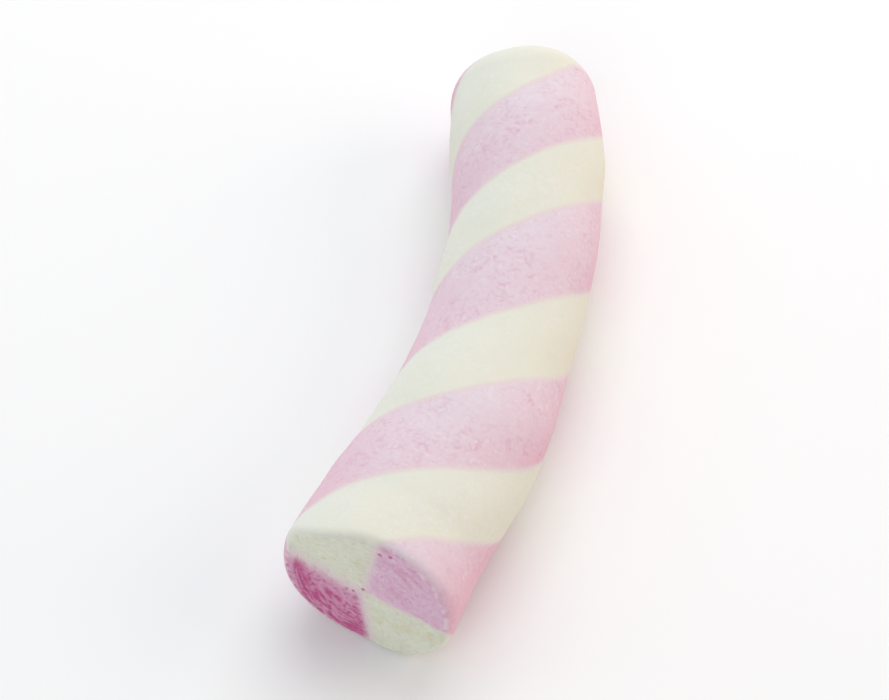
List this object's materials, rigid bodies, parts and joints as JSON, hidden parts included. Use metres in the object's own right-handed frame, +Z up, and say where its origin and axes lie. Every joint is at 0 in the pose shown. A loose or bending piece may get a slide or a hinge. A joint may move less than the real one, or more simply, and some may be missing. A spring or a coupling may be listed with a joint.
{
  "type": "twisted marshmallow",
  "caption": "Twisted marshmallow rope: pink and white strands wound round each other, bent a little, flat underneath and cut across at both ends.",
  "frame": {"origin": "on the surface that the marshmallow lies on, under the middle of its box", "axes": "+Y runs from the near cut end to the far one, +X to the right of it, and +Z up"},
  "size_m": [0.0326, 0.1026, 0.0255],
  "materials": {
    "pink_marshmallow": "soft matt pink marshmallow with a finely wrinkled skin",
    "white_marshmallow": "soft matt creamy white marshmallow with a finely wrinkled skin"
  },
  "bodies": {
    "root": {"pink_strand_1": "pink_marshmallow", "white_strand_1": "white_marshmallow", "pink_strand_2": "pink_marshmallow", "white_strand_2": "white_marshmallow"}
  },
  "joints": []
}
